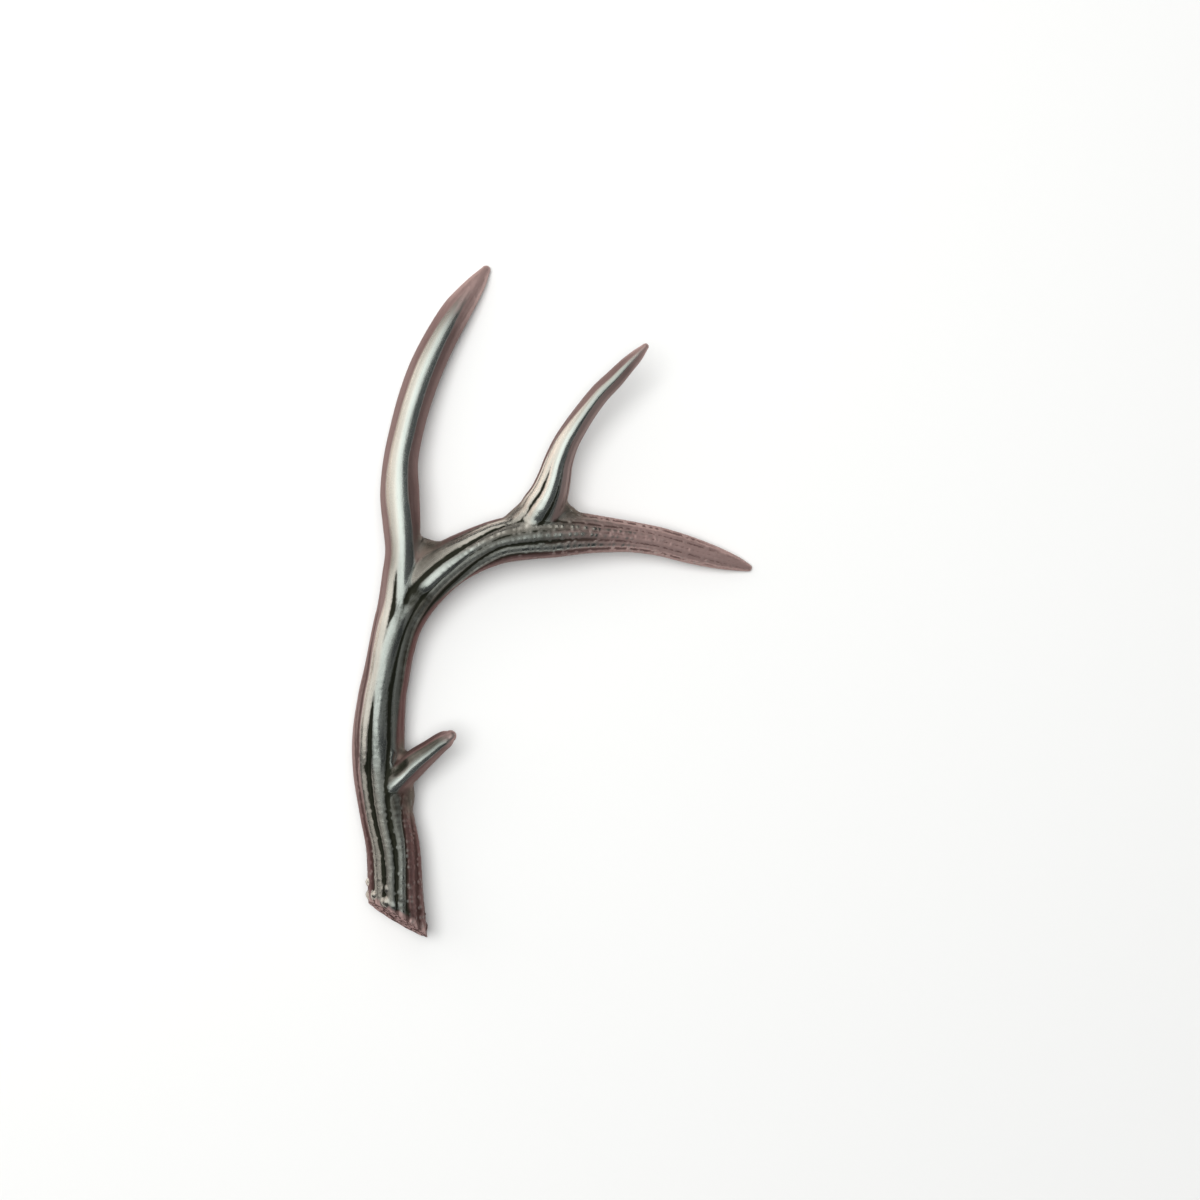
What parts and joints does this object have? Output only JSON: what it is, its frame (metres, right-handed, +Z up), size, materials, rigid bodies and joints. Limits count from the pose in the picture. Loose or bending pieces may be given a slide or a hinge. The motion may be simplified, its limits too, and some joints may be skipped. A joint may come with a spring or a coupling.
{
  "type": "antler",
  "caption": "Branching deer antler in polished silver-toned metal, with a furrowed beam, smooth curved tines and a slanted sawn end ringed with pearls. It lies on its side.",
  "frame": {"origin": "on the surface that the antler lies on, under the middle of its box", "axes": "+Z up from the surface, +Y from the sawn end towards the tall tine's tip, +X towards the fore beam's tip"},
  "size_m": [0.2536, 0.4266, 0.0475],
  "materials": {
    "dark_metal": "cast and polished, darkened in the furrows, with a reddish-brown tarnish on the flanks",
    "bright_metal": "cast and polished bright, with a reddish-brown tarnish towards the tips"
  },
  "bodies": {
    "root": {"main_beam": "dark_metal", "fore_beam": "dark_metal", "tall_tine": "bright_metal", "fore_tine": "bright_metal", "brow_tine": "bright_metal"}
  },
  "joints": []
}
